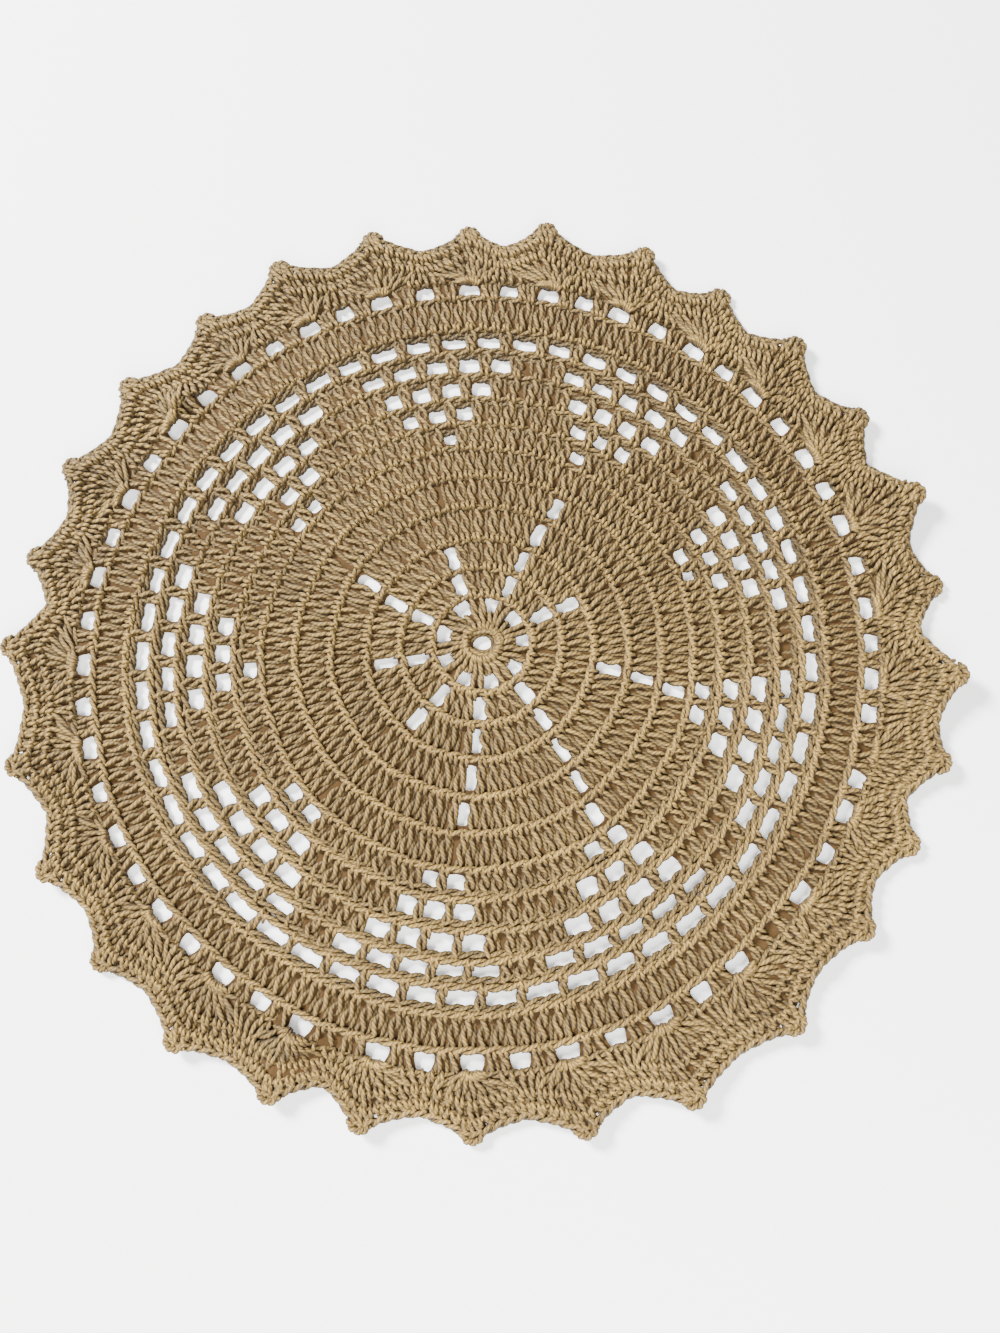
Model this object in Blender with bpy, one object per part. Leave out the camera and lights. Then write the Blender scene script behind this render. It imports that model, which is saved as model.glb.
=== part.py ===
"""Crocheted lace doily lying flat: one piece of cloth, worked in rounds from the centre out.

Nine solid petals are parted by open spokes. Each spoke widens into a triangle of open mesh. A round of
mesh and a solid band close the disc, and 29 scalloped points stand round it.
"""

import math
import random
from collections import namedtuple

import bmesh
import bpy
from mathutils import Vector
from mathutils.geometry import delaunay_2d_cdt

MM = 0.001

# Cloth: its thickness between two rounds, and how far the chain top of a round stands proud of it
THICKNESS = 2.5 * MM
RIDGE_HEIGHT = 0.8 * MM
RIDGE_WIDTH = 7.0 * MM
RELIEF_PITCH = 20 * MM

# Outer radius of each round, from the first round about the ring to the solid band
ROUNDS = [radius * MM for radius in (19, 30.5, 43, 56.5, 69.5, 82, 92.5, 103.5, 114, 123.5, 133, 146)]
BAND = ROUNDS[-1]

# The rounds drift: how far the middle of a round of this radius lies off the rim's centre
Drift = namedtuple("Drift", "radius x y")
DRIFTS = [
    Drift(15 * MM, 3.8 * MM, 1.3 * MM),
    Drift(50 * MM, 2.6 * MM, -0.2 * MM),
    Drift(87 * MM, 1.3 * MM, -1.4 * MM),
    Drift(108 * MM, 0.9 * MM, -1.8 * MM),
    Drift(128 * MM, 0.1 * MM, -0.7 * MM),
    Drift(150 * MM, 0.0, 0.0),
]

# Open gaps of a kind: middle radius, width round the cloth, height along the radius, corners
Gap = namedtuple("Gap", "radius width height corners")
CENTRE_GAP = Gap(0, 6.4 * MM, 4.6 * MM, 6)
RING_GAP = Gap(15.4 * MM, 4.4 * MM, 4.4 * MM, 5)
SPOKE_GAPS = {
    2: Gap(25.0 * MM, 3.4 * MM, 6.6 * MM, 6),
    3: Gap(36.5 * MM, 3.2 * MM, 6.8 * MM, 6),
    4: Gap(49.8 * MM, 3.0 * MM, 7.2 * MM, 6),
    5: Gap(63.0 * MM, 3.0 * MM, 6.2 * MM, 6),
    6: Gap(75.8 * MM, 4.2 * MM, 6.0 * MM, 6),
}
MESH_GAPS = {
    7: Gap(87.6 * MM, 4.4 * MM, 4.6 * MM, 5),
    8: Gap(97.8 * MM, 5.6 * MM, 4.8 * MM, 5),
    9: Gap(107.8 * MM, 6.6 * MM, 4.8 * MM, 5),
    10: Gap(118.0 * MM, 7.8 * MM, 5.2 * MM, 5),
}
RIM_MESH_GAP = Gap(128.2 * MM, 9.2 * MM, 5.0 * MM, 6)
FAN_GAP = Gap(150.6 * MM, 8.4 * MM, 5.0 * MM, 6)
BETWEEN_GAP = Gap(150.6 * MM, 6.8 * MM, 4.6 * MM, 5)
GAP_MARGIN = 1.6 * MM
GAP_UNEVENNESS = 0.1
GAP_SEED = 29
SAME_SPOT = 0.001 * MM

# Two meshes in the round where a spoke opens, one more in each round after it, and six in the rim mesh
FIRST_MESHES = 2
RIM_MESHES = 6

# The nine repeats: direction of the spoke at the hub, and of the mesh's middle at its first round and
# at the rim mesh, the pitch of its meshes, all in degrees, how far its meshes are pulled open, the
# rounds between which its spoke stays open, and the mesh pulled shut, as its round and its place there
Repeat = namedtuple("Repeat", "hub waist rim pitch pull first last shut")
REPEATS = [
    Repeat(64.5, 60.0, 58.0, 5.9, 0.82, 2, 5, (7, 0)),
    Repeat(109.5, 100.0, 97.0, 6.4, 0.88, 2, 3, (7, 1)),
    Repeat(155.5, 140.5, 136.5, 6.5, 1.00, 2, 4, (8, 2)),
    Repeat(192.5, 181.5, 177.5, 6.7, 1.05, 2, 3, (7, 0)),
    Repeat(231.5, 222.0, 219.0, 6.8, 1.20, 2, 3, None),
    Repeat(269.0, 262.5, 259.0, 6.2, 1.12, 2, 5, None),
    Repeat(310.5, 303.5, 298.0, 6.8, 1.15, 2, 6, None),
    Repeat(352.0, 346.5, 339.0, 6.2, 1.12, 4, 6, None),
    Repeat(386.0, 382.0, 380.5, 5.6, 0.90, 2, 3, None),
]
RING_GAP_TURN = 11

# The 29 points: direction of the tip and of the fan under it in degrees, reach of the tip and of the
# notch that follows it in millimetres, and how far the tip is lifted off the surface in millimetres
Point = namedtuple("Point", "tip foot reach notch lift")
POINTS = [
    Point(7.5, 5.5, 180.5, 170.5, 0),
    Point(19, 18.5, 183, 168.5, 6),
    Point(31, 30, 180, 169, 3),
    Point(43.5, 42.5, 181, 168.5, 2.5),
    Point(55.5, 54, 180, 168.5, 0),
    Point(67, 67, 181, 171, 2.5),
    Point(80.5, 78.5, 181, 169, 3),
    Point(91, 91, 179.5, 168.5, 0),
    Point(104, 105, 181, 171, 3),
    Point(117, 117, 182, 170.5, 4),
    Point(129, 129.5, 181, 169, 0),
    Point(142.5, 143, 180, 170, 4),
    Point(155.5, 156, 180.5, 169.5, 2.5),
    Point(168, 169, 180.5, 166.5, 0),
    Point(180, 182.5, 181.5, 172, 3),
    Point(195, 195, 181, 170, 3),
    Point(208.5, 208.5, 181, 171, 3),
    Point(221, 221, 181, 171.5, 0),
    Point(234, 233.5, 181, 172, 2.5),
    Point(246.5, 246.5, 178.5, 165, 3),
    Point(257.5, 257.5, 177.5, 167.5, 2.5),
    Point(270.5, 270.5, 177, 168.5, 0),
    Point(283.5, 283.5, 179, 169, 2.5),
    Point(296, 297, 182, 173.5, 3),
    Point(310, 309.5, 181, 169.5, 2.5),
    Point(323.5, 322.5, 178, 168.5, 2.5),
    Point(335, 335.5, 179, 168, 0),
    Point(345.5, 345, 181, 174, 2.5),
    Point(356, 355, 183.5, 167, 6),
]
HIDDEN_FAN_GAPS = (27,)
HIDDEN_BETWEEN_GAPS = (19, 24)

# A point's picot knob, and the chain lines and the hollow of its edging, as shares of the way from the
# band to the edge
KNOB_WIDTH = 9.0 * MM
KNOB_TOP_WIDTH = 5.6 * MM
KNOB_HEIGHT = 4.2 * MM
SIDE_BULGE = 0.6 * MM
EDGING_LINES = (0.52, 0.76)
EDGING_HOLLOWS = (0.32, 0.64)
EDGE_LINE = 1.0

# Buckles of the rim: where the crest's middle lies, its heading from the radius in degrees, its length
# and width, and how far the cloth rises there
Buckle = namedtuple("Buckle", "radius at heading length width rise")
BUCKLES = [
    Buckle(157 * MM, 246, -62, 15 * MM, 9 * MM, 6 * MM),
    Buckle(156 * MM, 139.5, 50, 13 * MM, 10 * MM, 5 * MM),
    Buckle(163 * MM, 317, 10, 14 * MM, 10 * MM, 4 * MM),
]
RUFFLE_START = 150 * MM
RUFFLE_END = 180 * MM
RUFFLE_SPREAD = 11

YARN_COLOUR = (0.42, 0.31, 0.18, 1.0)
YARN_ROUGHNESS = 0.75


def smooth(share):
    """Ease from 0 to 1 as the share goes from 0 to 1."""
    share = min(max(share, 0.0), 1.0)
    return share * share * (3 - 2 * share)


def swell(distance, reach):
    """Fall from 1 to 0 as the distance grows to the reach."""
    return 1 - smooth(abs(distance) / reach)


def turn_between(first, second):
    """Turn from the first direction to the second, from -180 to 180 degrees."""
    return (second - first + 180) % 360 - 180


def drift_at(radius):
    """How far the middle of a round of this radius lies off the rim's centre."""
    for inner, outer in zip(DRIFTS, DRIFTS[1:]):
        if radius < outer.radius:
            share = smooth((radius - inner.radius) / (outer.radius - inner.radius))
            return Vector((inner.x, inner.y)).lerp(Vector((outer.x, outer.y)), share)
    return Vector((0.0, 0.0))


def place(radius, degrees):
    """Point of the cloth at this worked radius and direction."""
    turn = math.radians(degrees)
    return drift_at(radius) + Vector((radius * math.cos(turn), radius * math.sin(turn)))


def middle_of(repeat, radius):
    """Direction of the middle of a repeat's open part at this radius: it leans as the rounds spiral."""
    hub, waist = SPOKE_GAPS[2].radius, MESH_GAPS[7].radius
    if radius <= waist:
        return repeat.hub + (repeat.waist - repeat.hub) * (radius - hub) / (waist - hub)
    return repeat.waist + (repeat.rim - repeat.waist) * (radius - waist) / (RIM_MESH_GAP.radius - waist)


def pulled(gap, pull):
    """The same gap, stretched both ways by this much."""
    return gap._replace(width=gap.width * pull, height=gap.height * pull)


def open_places():
    """Every open gap, as its kind and its direction."""
    yield CENTRE_GAP, 0
    for index, repeat in enumerate(REPEATS):
        yield RING_GAP, repeat.hub + RING_GAP_TURN
        for round_number in range(repeat.first, repeat.last + 1):
            gap = SPOKE_GAPS[round_number]
            yield gap, middle_of(repeat, gap.radius)
        for step, (round_number, gap) in enumerate(MESH_GAPS.items()):
            meshes = FIRST_MESHES + step
            for place_in_round in range(meshes):
                if repeat.shut != (round_number, place_in_round):
                    offset = (place_in_round - (meshes - 1) / 2) * repeat.pitch
                    yield pulled(gap, repeat.pull), middle_of(repeat, gap.radius) + offset
        for place_in_round in range(RIM_MESHES):
            offset = place_in_round - (RIM_MESHES - 1) / 2
            neighbour = REPEATS[(index + (1 if offset > 0 else -1)) % len(REPEATS)]
            pitch = abs(turn_between(repeat.rim, neighbour.rim)) / RIM_MESHES
            yield pulled(RIM_MESH_GAP, repeat.pull), repeat.rim + offset * pitch
    for index, point in enumerate(POINTS):
        following = POINTS[(index + 1) % len(POINTS)]
        if index not in HIDDEN_FAN_GAPS:
            yield FAN_GAP, point.foot
        if index not in HIDDEN_BETWEEN_GAPS:
            yield BETWEEN_GAP, point.foot + turn_between(point.foot, following.foot) / 2


def gap_loop(gap, degrees, uneven):
    """Corners of one gap, as uneven as handwork."""
    middle = place(gap.radius, degrees)
    outward = Vector((math.cos(math.radians(degrees)), math.sin(math.radians(degrees))))
    along = Vector((-outward.y, outward.x))
    stretch = 1 + uneven.uniform(-GAP_UNEVENNESS, GAP_UNEVENNESS)
    start = uneven.choice((0, 180))
    corners = []
    for corner in range(gap.corners):
        turn = math.radians(start + 360 * corner / gap.corners)
        reach = 1 + uneven.uniform(-GAP_UNEVENNESS, GAP_UNEVENNESS)
        across = along * (gap.width / 2 * stretch * reach * math.cos(turn))
        corners.append(middle + across + outward * (gap.height / 2 * reach * math.sin(turn)))
    return corners


def edge_loop():
    """Outline of the cloth: notches, the sides of the points and their picot knobs."""
    corners = []
    for index, point in enumerate(POINTS):
        previous = POINTS[index - 1]
        half = turn_between(previous.tip, point.tip) / 2
        reach, notch = point.reach * MM, previous.notch * MM
        base = reach - KNOB_HEIGHT
        knob = math.degrees(KNOB_WIDTH / 2 / reach)
        knob_top = math.degrees(KNOB_TOP_WIDTH / 2 / reach)
        following = POINTS[(index + 1) % len(POINTS)]
        half_after = turn_between(point.tip, following.tip) / 2
        notch_after = point.notch * MM
        corners += [
            place(notch, point.tip - half),
            place((notch + base) / 2 + SIDE_BULGE, point.tip - (half + knob) / 2),
            place(base, point.tip - knob),
            place(reach, point.tip - knob_top),
            place(reach, point.tip + knob_top),
            place(base, point.tip + knob),
            place((notch_after + base) / 2 + SIDE_BULGE, point.tip + (half_after + knob) / 2),
        ]
    return corners


def edge_radius(degrees):
    """Radius of the edge in this direction, without the picot knobs."""
    for index, point in enumerate(POINTS):
        following = POINTS[(index + 1) % len(POINTS)]
        span = turn_between(point.tip, following.tip)
        turn = turn_between(point.tip, degrees)
        if 0 <= turn < span:
            tip = (point if turn < span / 2 else following).reach * MM - KNOB_HEIGHT
            share = abs(turn - span / 2) / (span / 2)
            return point.notch * MM + (tip - point.notch * MM) * share
    raise ValueError(degrees)


def lift_at(radius, degrees, spot):
    """How far the underside is off the surface: the rim's ruffle and its buckles."""
    lift = 0.0
    for point in POINTS:
        lift = max(lift, point.lift * MM * swell(turn_between(point.tip, degrees), RUFFLE_SPREAD))
    lift *= smooth((radius - RUFFLE_START) / (RUFFLE_END - RUFFLE_START))
    for buckle in BUCKLES:
        turn = math.radians(buckle.at + buckle.heading)
        crest = Vector((math.cos(turn), math.sin(turn)))
        away = spot - place(buckle.radius, buckle.at)
        along = swell(away.dot(crest), buckle.length)
        lift += buckle.rise * along * swell(away.dot(crest.orthogonal()), buckle.width)
    return lift


def ridge_at(radius, degrees):
    """How far the chain top of a round, or a line of the edging, stands proud here."""
    if radius < BAND + RIDGE_WIDTH / 2:
        distance = min(abs(radius - top) for top in ROUNDS)
    else:
        depth = edge_radius(degrees) - BAND
        distance = min(abs(radius - BAND - share * depth) for share in (*EDGING_LINES, EDGE_LINE))
    return RIDGE_HEIGHT * swell(distance, RIDGE_WIDTH / 2)


def relief_spots():
    """Points inside the cloth that carry the tops of the rounds and the hollows between them."""
    hollows = [(inner + outer) / 2 for inner, outer in zip(ROUNDS, ROUNDS[1:])]
    for radius in ROUNDS + hollows:
        count = round(2 * math.pi * radius / RELIEF_PITCH)
        for step in range(count):
            yield radius, 360 * step / count
    for index, point in enumerate(POINTS):
        half = turn_between(point.tip, POINTS[(index + 1) % len(POINTS)].tip) / 2
        for share in EDGING_LINES:
            for direction in (point.tip, point.tip + half):
                yield BAND + share * (edge_radius(direction) - BAND), direction
        for share in EDGING_HOLLOWS:
            for direction in (point.tip + half / 2, point.tip + 1.5 * half):
                yield BAND + share * (edge_radius(direction) - BAND), direction


def clear_of_gaps(radius, degrees, gaps):
    """Whether a point at this worked radius lies on cloth, with a margin to every gap."""
    for gap, at in gaps:
        across = radius * math.radians(turn_between(at, degrees))
        high = abs(radius - gap.radius) < gap.height / 2 + GAP_MARGIN
        if high and abs(across) < gap.width / 2 + GAP_MARGIN:
            return False
    return True


def add_cloth(name, collection):
    """Add the cloth as one closed solid, centred over the origin and resting on the ground plane."""
    uneven = random.Random(GAP_SEED)
    gaps = list(open_places())
    loops = [edge_loop()] + [gap_loop(gap, at, uneven) for gap, at in gaps]
    spots, borders = [], []
    for loop in loops:
        borders.append(range(len(spots), len(spots) + len(loop)))
        spots += loop
    spots += [place(*spot) for spot in relief_spots() if clear_of_gaps(*spot, gaps)]
    inside_with_holes = 2
    corners, _, triangles, *_ = delaunay_2d_cdt(spots, [], borders, inside_with_holes, SAME_SPOT)

    shape = bmesh.new()
    under = [shape.verts.new((corner.x, corner.y, 0)) for corner in corners]
    for triangle in triangles:
        shape.faces.new([under[corner] for corner in triangle])
    raised = bmesh.ops.extrude_face_region(shape, geom=shape.faces[:])["geom"]
    tops = {part for part in raised if isinstance(part, bmesh.types.BMVert)}
    for vertex in shape.verts:
        spot = vertex.co.xy
        worked = spot - drift_at(spot.length)
        radius, degrees = worked.length, math.degrees(math.atan2(worked.y, worked.x))
        vertex.co.z = lift_at(radius, degrees, spot)
        if vertex in tops:
            vertex.co.z += THICKNESS + ridge_at(radius, degrees)
    wide = [vertex.co.x for vertex in shape.verts]
    deep = [vertex.co.y for vertex in shape.verts]
    centre = Vector((max(wide) + min(wide), max(deep) + min(deep), 0)) / 2
    bmesh.ops.translate(shape, verts=shape.verts, vec=-centre)
    bmesh.ops.recalc_face_normals(shape, faces=shape.faces)

    mesh = bpy.data.meshes.new(name)
    shape.to_mesh(mesh)
    shape.free()
    cloth = bpy.data.objects.new(name, mesh)
    collection.objects.link(cloth)
    return cloth


def yarn_material():
    """Natural beige cotton yarn."""
    material = bpy.data.materials.new("cotton_yarn")
    material.use_nodes = True
    shader = material.node_tree.nodes["Principled BSDF"]
    shader.inputs["Base Color"].default_value = YARN_COLOUR
    shader.inputs["Roughness"].default_value = YARN_ROUGHNESS
    shader.inputs["Metallic"].default_value = 0.0
    return material


def clear_scene():
    """Remove the scene's own objects."""
    for leftover in list(bpy.data.objects):
        bpy.data.objects.remove(leftover, do_unlink=True)


def main():
    """Build the doily."""
    clear_scene()
    collection = bpy.data.collections.new("lace_doily")
    bpy.context.scene.collection.children.link(collection)
    cloth = add_cloth("doily", collection)
    cloth.data.materials.append(yarn_material())


if __name__ == "__main__":
    main()
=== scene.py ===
"""Looks of the crocheted lace doily: every stitch is laid in yarn, worked from the centre out.

The chart below holds the same rounds, spokes, meshes, points and lifts as the solid. Each stitch
becomes a few short strands of yarn, and one tree of geometry nodes spins them all into plied cotton.
"""

import logging
import math
import random
from collections.abc import Iterator
from dataclasses import dataclass, field, replace
from enum import Enum

import bpy
from mathutils import Matrix, Vector
from mathutils.geometry import delaunay_2d_cdt

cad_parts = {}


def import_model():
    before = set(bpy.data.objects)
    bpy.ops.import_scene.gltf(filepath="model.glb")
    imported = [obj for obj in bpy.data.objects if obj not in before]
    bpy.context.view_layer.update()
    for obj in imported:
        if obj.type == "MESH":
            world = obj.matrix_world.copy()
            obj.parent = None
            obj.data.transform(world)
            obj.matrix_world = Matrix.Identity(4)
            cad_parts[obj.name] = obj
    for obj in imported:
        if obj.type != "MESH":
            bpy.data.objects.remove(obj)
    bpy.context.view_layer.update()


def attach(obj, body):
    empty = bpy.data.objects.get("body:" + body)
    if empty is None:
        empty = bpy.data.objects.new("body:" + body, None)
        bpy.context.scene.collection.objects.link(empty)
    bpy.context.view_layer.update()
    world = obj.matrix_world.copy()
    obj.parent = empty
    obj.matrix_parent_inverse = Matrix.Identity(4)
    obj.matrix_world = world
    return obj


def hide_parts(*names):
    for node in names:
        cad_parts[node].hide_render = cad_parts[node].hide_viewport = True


MM = 0.001
EDGE_STEPS = 720
YARN_SIDES = 5
LOG = logging.getLogger("lace_doily")


# The chart: the cloth's rounds, gaps, spokes, points and buckles

@dataclass(frozen=True)
class Drift:
    """How far the middle of a round of this radius lies off the rim's centre, in millimetres."""

    radius: float
    x: float
    y: float


@dataclass(frozen=True)
class Gap:
    """An open gap: the radius of its middle, its width round the cloth and its height, in millimetres."""

    radius: float
    width: float
    height: float


@dataclass(frozen=True)
class Repeat:
    """One of the nine repeats: directions in degrees, and how far its meshes are pulled open."""

    hub: float
    waist: float
    rim: float
    pitch: float
    pull: float
    first: int
    last: int
    shut: tuple[int, int] | None = None


@dataclass(frozen=True)
class Point:
    """One scallop: directions of its tip and fan, reach of its tip and the next notch, and its lift."""

    tip: float
    foot: float
    reach: float
    notch: float
    lift: float


@dataclass(frozen=True)
class Buckle:
    """A place where the rim stands proud: middle, heading of its crest, its length, width and rise."""

    radius: float
    at: float
    heading: float
    length: float
    width: float
    rise: float


@dataclass(frozen=True)
class Opening:
    """One gap of a round as it is worked: its direction and half its width in degrees, and if it is open."""

    at: float
    half: float
    gap: Gap
    is_open: bool = True


@dataclass(frozen=True)
class Wall:
    """The solid part between two gaps of a round."""

    before: Opening
    after: Opening

    @property
    def span(self) -> float:
        """Turn from the middle of one gap to the middle of the next."""
        return turn_between(self.before.at, self.after.at)

    @property
    def start(self) -> float:
        """Direction where it starts."""
        return self.before.at + self.before.half

    @property
    def end(self) -> float:
        """Direction where it ends."""
        return self.before.at + self.span - self.after.half


DRIFTS = (
    Drift(15, 3.8, 1.3), Drift(50, 2.6, -0.2), Drift(87, 1.3, -1.4),
    Drift(108, 0.9, -1.8), Drift(128, 0.1, -0.7), Drift(150, 0.0, 0.0),
)
RING_RADIUS = 6.0
ROUNDS = (19, 30.5, 43, 56.5, 69.5, 82, 92.5, 103.5, 114, 123.5, 133, 146)
BAND = ROUNDS[-1]
FAN_BASE = 154.0
RIM_MESH_ROUND, BAND_ROUND, FAN_ROUND = 11, 12, 13
CENTRE_GAP = Gap(0, 6.4, 4.6)
RING_GAP = Gap(15.4, 4.4, 4.4)
SPOKE_GAPS = {
    2: Gap(25.0, 3.4, 6.6), 3: Gap(36.5, 3.2, 6.8), 4: Gap(49.8, 3.0, 7.2),
    5: Gap(63.0, 3.0, 6.2), 6: Gap(75.8, 4.2, 6.0),
}
MESH_GAPS = {
    7: Gap(87.6, 4.4, 4.6), 8: Gap(97.8, 5.6, 4.8), 9: Gap(107.8, 6.6, 4.8), 10: Gap(118.0, 7.8, 5.2),
}
RIM_MESH_GAP = Gap(128.2, 9.2, 5.0)
FAN_GAP = Gap(150.6, 8.4, 5.0)
BETWEEN_GAP = Gap(150.6, 6.8, 4.6)
CLOSED_WIDTH = 0.8
FIRST_MESHES = 2
RIM_MESHES = 6
RING_GAP_TURN = 11
REPEATS = (
    Repeat(64.5, 60.0, 58.0, 5.9, 0.82, 2, 5, (7, 0)),
    Repeat(109.5, 100.0, 97.0, 6.4, 0.88, 2, 3, (7, 1)),
    Repeat(155.5, 140.5, 136.5, 6.5, 1.00, 2, 4, (8, 2)),
    Repeat(192.5, 181.5, 177.5, 6.7, 1.05, 2, 3, (7, 0)),
    Repeat(231.5, 222.0, 219.0, 6.8, 1.20, 2, 3),
    Repeat(269.0, 262.5, 259.0, 6.2, 1.12, 2, 5),
    Repeat(310.5, 303.5, 298.0, 6.8, 1.15, 2, 6),
    Repeat(352.0, 346.5, 339.0, 6.2, 1.12, 4, 6),
    Repeat(386.0, 382.0, 380.5, 5.6, 0.90, 2, 3),
)
POINTS = (
    Point(7.5, 5.5, 180.5, 170.5, 0), Point(19, 18.5, 183, 168.5, 6), Point(31, 30, 180, 169, 3),
    Point(43.5, 42.5, 181, 168.5, 2.5), Point(55.5, 54, 180, 168.5, 0), Point(67, 67, 181, 171, 2.5),
    Point(80.5, 78.5, 181, 169, 3), Point(91, 91, 179.5, 168.5, 0), Point(104, 105, 181, 171, 3),
    Point(117, 117, 182, 170.5, 4), Point(129, 129.5, 181, 169, 0), Point(142.5, 143, 180, 170, 4),
    Point(155.5, 156, 180.5, 169.5, 2.5), Point(168, 169, 180.5, 166.5, 0), Point(180, 182.5, 181.5, 172, 3),
    Point(195, 195, 181, 170, 3), Point(208.5, 208.5, 181, 171, 3), Point(221, 221, 181, 171.5, 0),
    Point(234, 233.5, 181, 172, 2.5), Point(246.5, 246.5, 178.5, 165, 3),
    Point(257.5, 257.5, 177.5, 167.5, 2.5), Point(270.5, 270.5, 177, 168.5, 0),
    Point(283.5, 283.5, 179, 169, 2.5), Point(296, 297, 182, 173.5, 3), Point(310, 309.5, 181, 169.5, 2.5),
    Point(323.5, 322.5, 178, 168.5, 2.5), Point(335, 335.5, 179, 168, 0), Point(345.5, 345, 181, 174, 2.5),
    Point(356, 355, 183.5, 167, 6),
)
HIDDEN_FAN_GAPS = (27,)
HIDDEN_BETWEEN_GAPS = (19, 24)
KNOB_WIDTH = 9.0
KNOB_TOP_WIDTH = 5.6
KNOB_HEIGHT = 4.2
SIDE_BULGE = 0.6
TIP_RISE = 2.2
TIP_RISE_SPREAD = 3.4
BUCKLES = (
    Buckle(157, 246, -62, 15, 9, 6), Buckle(156, 139.5, 50, 13, 10, 5), Buckle(163, 317, 10, 14, 10, 4),
)
FLAT_RADIUS = 130
RUFFLE_START = 150
RUFFLE_END = 180
RUFFLE_SPREAD = 11

# How many stitches a petal, the band and a fan have, and the turn past which a petal parts two gaps
RING_STITCHES = 2
PETAL_STITCHES = {2: 3, 3: 5, 4: 7, 5: 9, 6: 11, 7: 9, 8: 7, 9: 5, 10: 3}
BAND_STITCHES_PER_MESH = 3
PETAL_SPAN = 10
FAN_STITCHES = 7


def smooth(share: float) -> float:
    """Ease from 0 to 1 as the share goes from 0 to 1."""
    share = min(max(share, 0.0), 1.0)
    return share * share * (3 - 2 * share)


def swell(distance: float, reach: float) -> float:
    """Fall from 1 to 0 as the distance grows to the reach."""
    return 1 - smooth(abs(distance) / reach)


def turn_between(first: float, second: float) -> float:
    """Turn from the first direction to the second, from -180 to 180 degrees."""
    return (second - first + 180) % 360 - 180


def mix(first: float, second: float, share: float) -> float:
    """Value between the first and the second."""
    return first + (second - first) * share


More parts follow.
